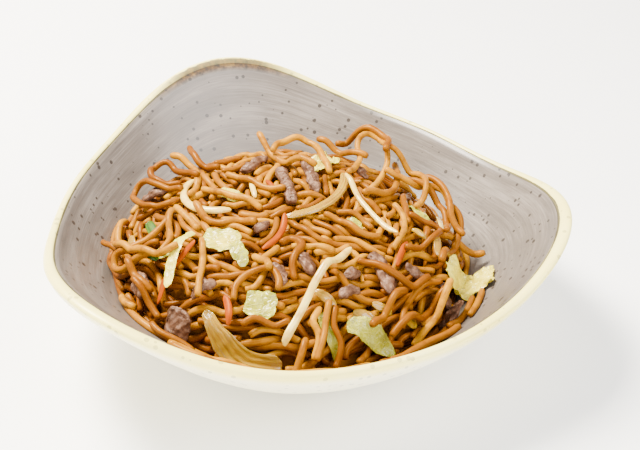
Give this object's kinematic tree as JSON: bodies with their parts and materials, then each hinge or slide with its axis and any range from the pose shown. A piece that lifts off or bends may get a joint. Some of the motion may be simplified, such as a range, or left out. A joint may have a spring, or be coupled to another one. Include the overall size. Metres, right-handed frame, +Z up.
{
  "type": "stir-fried noodles in a bowl",
  "caption": "Heap of stir-fried egg noodles with beef strips, bean sprouts, carrot, cabbage and onion in a wide three-cornered stoneware bowl with a wavy rolled rim.",
  "frame": {"origin": "on the plane of the foot ring, under the middle of the bowl's bounding box", "axes": "+Z up, +Y towards one raised corner of the rim, +X to the right of it"},
  "size_m": [0.2386, 0.2372, 0.0681],
  "materials": {
    "stoneware": "speckled grey brushed glaze inside, warm white outside, cream rim with a brown edge",
    "noodle": null,
    "cooked_beef": null,
    "carrot_flesh": null,
    "bean_sprout": null,
    "cooked_onion": null,
    "spring_onion_green": null,
    "cabbage_leaf": null
  },
  "bodies": {
    "root": {"beef_01": "cooked_beef", "beef_02": "cooked_beef", "beef_03": "cooked_beef", "beef_04": "cooked_beef", "beef_05": "cooked_beef", "beef_06": "cooked_beef", "beef_07": "cooked_beef", "beef_08": "cooked_beef", "beef_09": "cooked_beef", "beef_10": "cooked_beef", "beef_11": "cooked_beef", "beef_12": "cooked_beef", "beef_13": "cooked_beef", "beef_14": "cooked_beef", "beef_15": "cooked_beef", "beef_16": "cooked_beef", "beef_17": "cooked_beef", "bowl": "stoneware", "cabbage_01": "cabbage_leaf", "cabbage_02": "cabbage_leaf", "cabbage_03": "cabbage_leaf", "cabbage_04": "cabbage_leaf", "cabbage_05": "cabbage_leaf", "cabbage_06": "cabbage_leaf", "cabbage_07": "cabbage_leaf", "cabbage_08": "cabbage_leaf", "cabbage_09": "cabbage_leaf", "cabbage_10": "cabbage_leaf", "cabbage_11": "cabbage_leaf", "cabbage_12": "cabbage_leaf", "carrot_01": "carrot_flesh", "carrot_02": "carrot_flesh", "carrot_03": "carrot_flesh", "carrot_04": "carrot_flesh", "carrot_05": "carrot_flesh", "noodles": "noodle", "onion_01": "cooked_onion", "onion_02": "cooked_onion", "onion_03": "cooked_onion", "onion_04": "cooked_onion", "onion_05": "cooked_onion", "onion_06": "cooked_onion", "onion_07": "cooked_onion", "onion_08": "cooked_onion", "onion_09": "cooked_onion", "spring_onion_01": "spring_onion_green", "spring_onion_02": "spring_onion_green", "spring_onion_03": "spring_onion_green", "sprout_01": "bean_sprout", "sprout_02": "bean_sprout", "sprout_03": "bean_sprout", "sprout_04": "bean_sprout", "sprout_05": "bean_sprout"}
  },
  "joints": []
}
